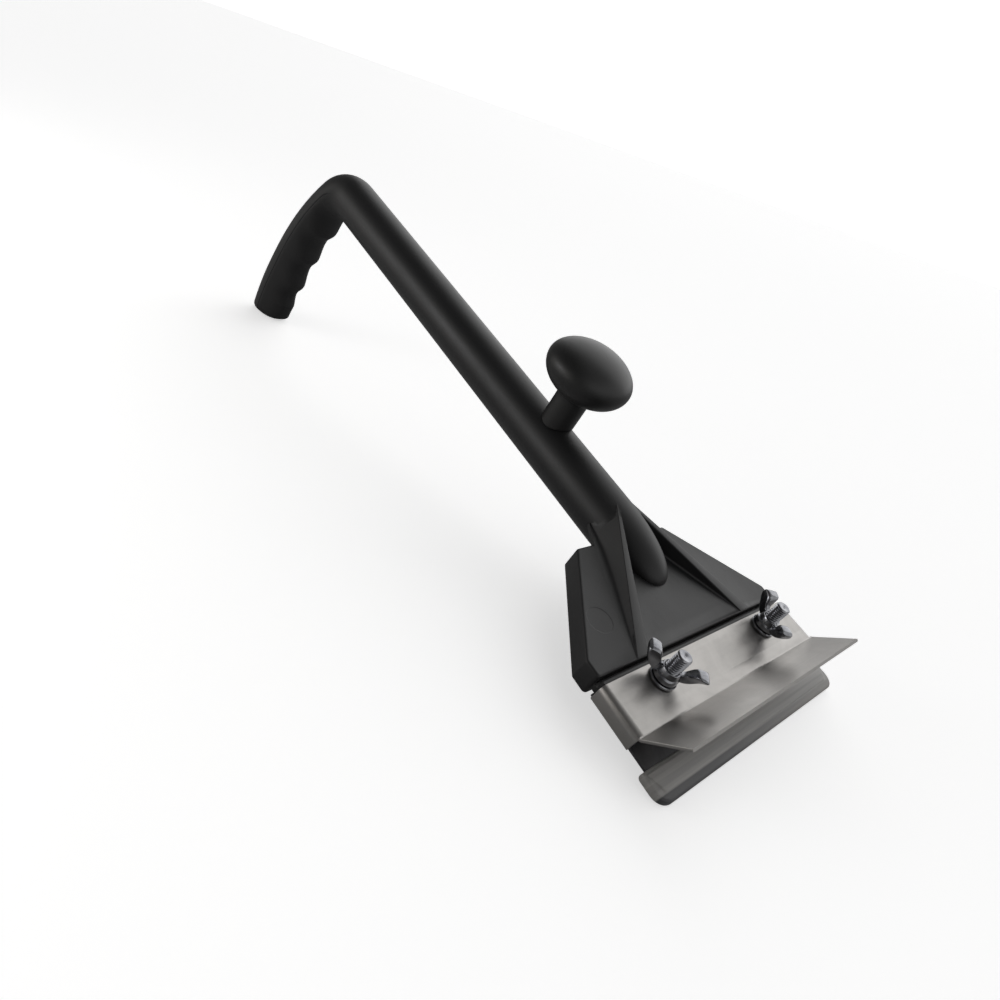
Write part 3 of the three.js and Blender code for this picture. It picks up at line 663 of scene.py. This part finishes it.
BAR_TOP, STUD_TOP, STUD_KEY = -8.7, 15.0, 3.5
STUD = [(BAR_TOP - 2.0, 5.3), (BAR_TOP - 1.9, 5.4), (BAR_TOP - 0.2, THREAD),
        (STUD_TOP - 0.5, THREAD), (STUD_TOP - 0.1, 2.6), (STUD_TOP, 2.45)]
DIMPLE = [(AXIS, STUD_TOP - 0.5), (0.5, STUD_TOP - 0.45), (1.5, STUD_TOP + 0.05), (1.5, STUD_TOP + 1),
          (AXIS, STUD_TOP + 1)]
for side, x in BOLTS.items():
    stud = loose(screw_skin(STUD, (-0.5, STUD_TOP - 0.1, 0.62), x, BOLT_Y))
    cuts = [hexagon(STUD_KEY, x, BOLT_Y, BAR_TOP - 3, BAR_TOP - 0.6), turned(DIMPLE, x, BOLT_Y, 32)]
    stud = combined(stud, [loose(cut) for cut in cuts], "DIFFERENCE")
    piece(stud, f"stud_{side}", "tool", zinc, [f"clamp_bolt_{side}"])


# %% Washers: a ring's section, carried round
def ring_section(inner, outer, low, high, edge):
    """A rectangle with small bevels, as (radius, z) pairs."""
    return [(inner + edge, low), (outer - edge, low), (outer, low + edge), (outer, high - edge),
            (outer - edge, high), (inner + edge, high), (inner, high - edge), (inner, low + edge)]


WASHER_LOW, WASHER_HIGH, WASHER_RADIUS = 1.05, 2.25, 5.5
for side, x in BOLTS.items():
    ring = ring_section(HOLE, WASHER_RADIUS, WASHER_LOW, WASHER_HIGH, 0.22)
    piece(loose(turned(ring, x, BOLT_Y, 64, True)), f"washer_{side}", f"washer_{side}", zinc,
          [f"clamp_washer_{side}"])

# %% [markdown]
# The wing nuts are cast: a round body with a flange, and two ears that spread out and up. An ear is a skin of
# rounded rings between its upper and lower edge curves. Its top leans over a little, one way on each side, so that
# a finger can push it round.

# %% Wing nuts
UPPER = np.array([(2.9, 4.6), (4.5, 4.9), (5.6, 5.9), (6.5, 7.9),
                  (7.6, 9.5), (9.2, 9.9), (11.0, 9.8), (12.1, 8.9)])
LOWER = np.array([(2.9, 0.9), (4.6, 1.0), (6.4, 1.4), (8.0, 2.2),
                  (9.4, 3.4), (10.6, 4.9), (11.5, 6.4), (12.15, 7.8)])


def smoothed(points, count):
    """A cubic blend through the points, at count even steps: Catmull-Rom pieces from neighbour differences."""
    slope = np.gradient(points, axis=0)
    at = np.linspace(0, len(points) - 1, count)
    k = np.minimum(at.astype(int), len(points) - 2)
    t = (at - k)[:, None]
    p0, p1, m0, m1 = points[k], points[k + 1], slope[k], slope[k + 1]
    return ((2 * t ** 3 - 3 * t ** 2 + 1) * p0 + (t ** 3 - 2 * t ** 2 + t) * m0
            + (3 * t ** 2 - 2 * t ** 3) * p1 + (t ** 3 - t ** 2) * m1)


def swell(v):
    """One axis of a superellipse with n = 5: sign(v) |v| ** 0.4."""
    return np.sign(v) * np.abs(v) ** 0.4


EAR_HALF, EAR_GAIN, TIP_LOSS, EAR_LEAN = 1.3, 1.5, 0.8, 1.6


def ear_skin(turn, x, y, count=30, sides=28):
    """One ear, pointing along the angle turn. Rings are superellipses across the ear's thickness, which grows
    with height and falls again at the tip; the upper part leans to one side."""
    upper, lower = smoothed(UPPER, count), smoothed(LOWER, count)
    angle = np.linspace(0, 2 * math.pi, sides, endpoint=False)[None, :]
    up = (1 + swell(np.sin(angle))) / 2
    span = lower[:, None, :] * (1 - up[..., None]) + upper[:, None, :] * up[..., None]
    out, z = span[..., 0], span[..., 1]
    near_tip = np.clip((np.linspace(0, 1, count)[:, None] - 0.9) / 0.1, 0, 1)
    half = EAR_HALF + EAR_GAIN * np.clip((z - 4.4) / 5.0, 0, 1) - TIP_LOSS * near_tip ** 2
    side = half * swell(np.cos(angle)) - EAR_LEAN * np.clip((z - 5.4) / 4.2, 0, 1) ** 1.3
    c, s = math.cos(turn), math.sin(turn)
    return skin(np.stack([x + out * c - side * s, y + out * s + side * c, NUT_SEAT + z], axis=2))


BODY = [(3.6, 0.0), (4.7, 0.0), (4.9, 0.2), (4.9, 2.0), (4.7, 2.25), (4.3, 2.6),
        (4.0, 4.4), (3.85, 4.8), (3.6, 4.9), (3.05, 4.5), (3.05, 0.5)]
for (side, x), turn in zip(BOLTS.items(), (math.radians(131), math.radians(61))):
    nut = loose(turned([(r, z + NUT_SEAT) for r, z in BODY], x, BOLT_Y, 64, True))
    nut = combined(nut, [loose(ear_skin(turn + k * math.pi, x, BOLT_Y)) for k in (0, 1)], "UNION")
    piece(nut, f"wing_nut_{side}_cast", f"wing_nut_{side}", zinc, [f"wing_nut_{side}"])

# %% The knob's bolt and washer, seen from below in the counterbore of the shaft
SEAT = UNDER + COUNTERBORE - 0.6 - 1.2  # under the washer, which lies a little below the counterbore's roof
BOLT_TOP, HEAD_RADIUS, HEAD_HIGH, SOCKET = KNOB_BASE + 33.0, 5.0, 6.0, 5.0
bolt = loose(screw_skin([(SEAT - HEAD_HIGH, HEAD_RADIUS - 0.4), (SEAT - HEAD_HIGH + 0.4, HEAD_RADIUS),
                         (SEAT - 0.001, HEAD_RADIUS), (SEAT, THREAD), (SEAT + 8, THREAD),
                         (BOLT_TOP - 0.4, THREAD), (BOLT_TOP, THREAD - 0.4)],
                        (SEAT + 7, BOLT_TOP - 0.2, 0.55), 0, KNOB_Y))
bolt = combined(bolt, [loose(hexagon(SOCKET, 0, KNOB_Y, SEAT - 7, SEAT - 3))], "DIFFERENCE")
piece(bolt, "knob_bolt", "tool", zinc, ["side_knob_bolt"])
washer = loose(turned(ring_section(HOLE, 5.7, SEAT + 0.3, SEAT + 1.5, 0.2), 0, KNOB_Y, 48, True))
piece(washer, "knob_washer", "tool", zinc, ["side_knob_washer"])
ring = ring_section(HOLE, INSERT, KNOB_BASE + INSERT_LOW, KNOB_BASE + INSERT_HIGH, 0.3)
insert = loose(turned(ring, 0, KNOB_Y, 48, True))
piece(insert, "knob_insert", "tool", brass, ["side_knob_insert"])

# %% [markdown]
# ## The guard, the blade and its cover
# The guard is one sheet, 1.2 mm thick, bent three ways: a cheek down at each end, and a lip up along the front.
# Sheet is swept as it is bent: a thin rounded rectangle, the cut end of the sheet, is carried along a path that has
# the bends in it. One sweep goes across for the cheeks, one goes forward for the lip, and the two are joined.

# %% Bent sheet
def path_with_bend(start, corner, end, radius, steps=14):
    """Points from start to end with the corner replaced by an arc of the given radius."""
    start, corner, end = (np.asarray(p, float) for p in (start, corner, end))
    a, b = (start - corner), (end - corner)
    a, b = a / np.linalg.norm(a), b / np.linalg.norm(b)
    half = math.acos(np.clip(a @ b, -1, 1)) / 2
    centre = corner + (a + b) / np.linalg.norm(a + b) * radius / math.sin(half)
    first, last = corner + a * radius / math.tan(half), corner + b * radius / math.tan(half)
    u, v = first - centre, last - centre
    whole = math.acos(np.clip((u @ v) / radius ** 2, -1, 1))
    t = np.linspace(0, 1, steps + 1)[:, None]
    arc = centre + (np.sin((1 - t) * whole) * u + np.sin(t * whole) * v) / math.sin(whole)
    return np.vstack([start, arc, end])


def sheet_skin(path, widths, thickness, place, edge=0.28):
    """Carries the cut end of the sheet, a rounded rectangle, along a flat path of (p, q) points. widths gives its
    (centre, half length) at each point, and place turns along, p and q into x, y and z."""
    path = np.asarray(path, float)
    way = np.gradient(path, axis=0)
    way /= np.linalg.norm(way, axis=1, keepdims=True)
    across = np.column_stack([-way[:, 1], way[:, 0]])
    rings = []
    for point, normal, (middle, half) in zip(path, across, widths):
        corners = np.array([(-1, -1), (1, -1), (1, 1), (-1, 1)]) * (half, thickness / 2)
        section = outline(corners, edge, 0, 3)
        pq = point + section[:, 1:] * normal
        rings.append(place(middle + section[:, 0], pq[:, 0], pq[:, 1]))
    return skin(np.array(rings))


SHEET, GUARD_X = 1.2, 65.0  # how thick the sheet is, and half the width over the cheeks
GUARD_REAR, GUARD_BEND, GUARD_TOP = -2.9, -22.9, 0.75
CHEEK_LOW, CHEEK_BEND = -6.8, 2.4
LIP_RUN, LIP_RISE, LIP_BEND, LIP_ROOT_X = 11.7, 15.3, 1.5, 61.5
mid = GUARD_TOP - SHEET / 2
side_x = GUARD_X - SHEET / 2
left = path_with_bend((-side_x, CHEEK_LOW), (-side_x, mid), (0, mid), CHEEK_BEND)
across_path = np.vstack([left[:-1], (left * [-1, 1])[::-1][1:]])
centre_y, half_y = (GUARD_REAR + GUARD_BEND) / 2, (GUARD_REAR - GUARD_BEND) / 2
channel = sheet_skin(across_path, [(centre_y, half_y)] * len(across_path), SHEET,
                     lambda along, p, q: np.column_stack([p, along, q]))
slope = math.atan2(LIP_RISE, LIP_RUN)
tip = (GUARD_BEND - LIP_RUN - SHEET / 2 * math.sin(slope), GUARD_TOP + LIP_RISE - SHEET / 2 * math.cos(slope))
knee = (GUARD_BEND - SHEET / 2 * math.tan(slope / 2), mid)
lip_path = path_with_bend((GUARD_BEND + 4.9, mid), knee, tip, LIP_BEND)
lip_widths = [(0, LIP_ROOT_X if y > GUARD_BEND + 0.4 else GUARD_X) for y in lip_path[:, 0]]
lip = sheet_skin(lip_path, lip_widths, SHEET, lambda along, p, q: np.column_stack([along, p, q]))
guard = combined(loose(channel, "guard"), [loose(lip)], "UNION")
guard = combined(guard, [drill([(HOLE, -1), (HOLE, 2)], x, BOLT_Y) for x in BOLTS.values()], "DIFFERENCE")
piece(guard, "bent_guard", "tool", stainless, ["guard"], math.radians(40))

# %% [markdown]
# The blade is a strip of hardened steel, 1 mm thick, ground to an edge along its top front, with two open slots at
# the back for the studs. It and the clamp bar under it are swept or cut from plain strip.

# %% Blade and clamp bar
BLADE_TOP, BLADE_LOW, BLADE_REAR, BLADE_FRONT, BLADE_X = -7.4, -8.4, -1.8, -37.5, 62.5
BEVEL, EDGE_LEFT, SLOT = 2.2, 0.08, 3.4  # the bevel's length, the thin edge it leaves, half a slot's width
section = [(BLADE_REAR, BLADE_LOW), (BLADE_FRONT, BLADE_LOW), (BLADE_FRONT, BLADE_LOW + EDGE_LEFT),
           (BLADE_FRONT + BEVEL, BLADE_TOP), (BLADE_REAR, BLADE_TOP)]
strip = skin(np.array([[(x, y, z) for y, z in section] for x in (-BLADE_X, BLADE_X)]))
slots = [drill([(SLOT, -9), (SLOT, -7)], x, BOLT_Y) for x in BOLTS.values()]
slots += [loose(box(x - SLOT + 0.01, x + SLOT - 0.01, BOLT_Y, 0, -9, -7)) for x in BOLTS.values()]
blade = combined(loose(strip, "strip"), slots, "DIFFERENCE")
piece(blade, "blade_strip", "blade", blade_steel, ["blade"], math.radians(12))
clamp = loose(box(-58, 58, -20, -2.4, BAR_TOP - 2, BAR_TOP, 1.2, 0.3), "clamp")
SINK = [(5.7, BAR_TOP - 3), (5.7, BAR_TOP - 2), (HOLE, BAR_TOP - 0.2), (HOLE, BAR_TOP + 1)]
clamp = combined(clamp, [drill(SINK, x, BOLT_Y) for x in BOLTS.values()], "DIFFERENCE")
piece(clamp, "clamp_strip", "tool", blade_steel, ["clamp_bar"])

# %% The blade cover: a soft rounded sleeve with a step along its top and a pocket for the blade
COVER_X, COVER_REAR, COVER_TOP = 65.7, -31.1, -6.0
FRONT_CORNER, REAR_CORNER = 5.5, 1.6
POCKET = (-64.6, 64.6, -39.9, -29.0, -8.7, -7.1)


def cover_outline(inset, steps=10):
    """The cover from above: large round corners in front and small ones behind, all pulled in by inset."""
    corners = [(-COVER_X, COVER_FRONT), (COVER_X, COVER_FRONT), (COVER_X, COVER_REAR), (-COVER_X, COVER_REAR)]
    front = outline(corners, FRONT_CORNER, inset, steps)
    rear = outline(corners, REAR_CORNER, min(inset, REAR_CORNER - 0.1), steps)
    cut = 2 * (steps + 1)
    return np.vstack([front[:cut], rear[cut:]])


def cover_skin(low, high, edge, step=0.4, rim=3.0, steps=7):
    """Rings up the rounded side, as (inset, height) pairs: in along the flat rim, then up a soft step to the
    raised panel over the pocket."""
    turns = np.linspace(0, math.pi / 2, steps)
    levels = [(edge + 0.2, low)] + [(edge * (1 - math.sin(a)), low + edge * (1 - math.cos(a))) for a in turns]
    levels += [(inset, low + high - step - z) for inset, z in reversed(levels)]
    levels += [(rim + 0.9 * t, high - step + step * t * t * (3 - 2 * t)) for t in np.linspace(0, 1, steps)]
    levels += [(rim + 1.1, high)]
    rings = [np.column_stack([flat := cover_outline(inset), np.full(len(flat), z)]) for inset, z in levels]
    return skin(np.array(rings))


cover = loose(cover_skin(COVER_BOTTOM, COVER_TOP, 1.0), "cover")
cover = combined(cover, [loose(box(*POCKET, 1.0))], "DIFFERENCE")
piece(cover, "cover_sleeve", "blade_cover", vinyl, ["blade_cover"])

# %% [markdown]
# ## Studio
# Black satin plastic shows mostly what it mirrors, so the room matters as much as the lamps. The walls are bright
# up to about 30 degrees above the floor, the ceiling is dimmer, and the side that the viewer stands on is dark.
# That draws a pale rim along the far side of the shaft, a soft band low on its near side, and a dark band between.
# The floor looks white where it is seen directly, and sends less light on to the tool than a white one would, as
# a floor does outside the light of the lamps. From below it is clear, so the underside can be looked at too.

# %% Floor
FLOOR_HALF, FLOOR_PALE, FLOOR_DIM = 40.0, "#ececec", "#a0a0a0"
GLOW_SEEN, GLOW_SENT_ON = 0.55, 0.04
floor_material, floor_tree, floor_surface, floor_output = new_material("pale_floor", Roughness=0.85)
path = add(floor_tree, "LightPath")
sent_on = add(floor_tree, "Math", {0: path.outputs["Is Glossy Ray"], 1: path.outputs["Is Diffuse Ray"]},
              operation="ADD")
glow = add(floor_tree, "MapRange", {"Value": sent_on, "To Min": GLOW_SEEN, "To Max": GLOW_SENT_ON})
floor_tone = add(floor_tree, "Mix", {"Factor": sent_on, "A": linear(FLOOR_PALE), "B": linear(FLOOR_DIM)},
                 data_type="RGBA")
connect(floor_surface, {"Base Color": floor_tone, "Emission Color": linear("#ffffff"),
                        "Emission Strength": glow})
underneath = add(floor_tree, "NewGeometry").outputs["Backfacing"]
clear = add(floor_tree, "BsdfTransparent")
either = add(floor_tree, "MixShader", {0: underneath, 1: floor_surface, 2: clear})
connect(floor_output, {"Surface": either})
floor_mesh = bpy.data.meshes.new("floor")
floor_mesh.from_pydata([(x * FLOOR_HALF, y * FLOOR_HALF, 0.0) for x, y in ((-1, -1), (1, -1), (1, 1), (-1, 1))],
                       [], [(0, 1, 2, 3)])
floor = bpy.data.objects.new("floor", floor_mesh)
floor.data.materials.append(floor_material)
scene.collection.objects.link(floor)
print("floor", 2 * FLOOR_HALF, "m wide")

# %% World: brightness by direction
WALL, CEILING, VIEWER_SIDE, BACKDROP = 0.68, 0.34, 0.2, 1.2
WALL_TOP, CEILING_EDGE = 0.5, 0.85  # as the sine of the height above the floor
TOWARD_VIEWER = (-0.8, 0.6, 0.0)
world = bpy.data.worlds.new("studio")
world.use_nodes = True
sky = world.node_tree
way = add(sky, "TexCoord").outputs["Generated"]
height = add(sky, "SeparateXYZ", {"Vector": way}).outputs["Z"]
room = add(sky, "MapRange", {"Value": height, "From Min": WALL_TOP, "From Max": CEILING_EDGE, "To Min": WALL,
                             "To Max": CEILING}, interpolation_type="SMOOTHSTEP")
facing = add(sky, "VectorMath", {0: way, 1: TOWARD_VIEWER}, operation="DOT_PRODUCT")
dim = add(sky, "MapRange", {"Value": facing, "From Min": -0.2, "From Max": 0.35, "To Min": 1.0,
                            "To Max": VIEWER_SIDE}, interpolation_type="SMOOTHSTEP")
strength = add(sky, "Math", {0: room, 1: dim}, operation="MULTIPLY")
plain_behind = add(sky, "MapRange", {"Value": add(sky, "LightPath").outputs["Is Camera Ray"],
                                     "To Min": strength, "To Max": BACKDROP})
connect(sky.nodes["Background"], {"Color": linear("#ffffff"), "Strength": plain_behind})
scene.world = world
print("room: walls", WALL, "ceiling", CEILING, "viewer's side", round(WALL * VIEWER_SIDE, 3))

# %% Lamps
def lamp(name, kind, energy, colour, ends, **settings):
    """A soft lamp that shines from the first of two ends to the second, in metres. Its local Z points back along
    the light."""
    data = bpy.data.lights.new(name, kind)
    data.energy, data.color = energy, linear(colour)[:3]
    for key, value in settings.items():
        setattr(data, key, value)
    made = bpy.data.objects.new(name, data)
    start, end = (Vector(spot) for spot in ends)
    made.location = start
    made.visible_camera = False
    made.rotation_mode = "QUATERNION"
    made.rotation_quaternion = (start - end).to_track_quat("Z", "Y")
    scene.collection.objects.link(made)
    print(name, "lamp on the side", [round(v, 2) for v in start])


lamp("key", "SUN", 0.95, "#ffffff", [(0.85, 0.25, 0.45), (0, 0, 0)], angle=math.radians(80))
lamp("side_lamp", "AREA", 0.8, "#f6f8ff", placed([(-780, 690, 80), (0, 130, 0)]), shape="RECTANGLE", size=0.4,
     size_y=0.2)
lamp("side_wall", "AREA", 0.8, "#fffaf2", placed([(-400, 500, -40), (0, 400, -60)]), shape="RECTANGLE", size=0.85,
     size_y=0.44)

# %% Camera
LENS, SENSOR = 25.894, 36.0
EYE = (-243.88, -41.88, 165.40)
RIGHT = (0.71712924, -0.53269304, 0.4494038)
UP = (0.11963248, 0.72934075, 0.67360979)
AHEAD = (0.68659575, 0.42930199, -0.58675897)

axes = (placed([RIGHT, UP, np.negative(AHEAD)]) - placed([(0, 0, 0)])) * 1000
eye = placed([EYE])[0]
lens = bpy.data.cameras.new("camera")
lens.lens, lens.sensor_width = LENS, SENSOR
lens.clip_start, lens.clip_end = 0.01, 100
camera = bpy.data.objects.new("camera", lens)
camera.matrix_world = Matrix(np.vstack([np.column_stack([*axes, eye]), [0, 0, 0, 1]]))
scene.collection.objects.link(camera)
scene.camera = camera
scene.view_settings.view_transform = "Standard"
print("camera at", [round(float(v), 4) for v in eye])
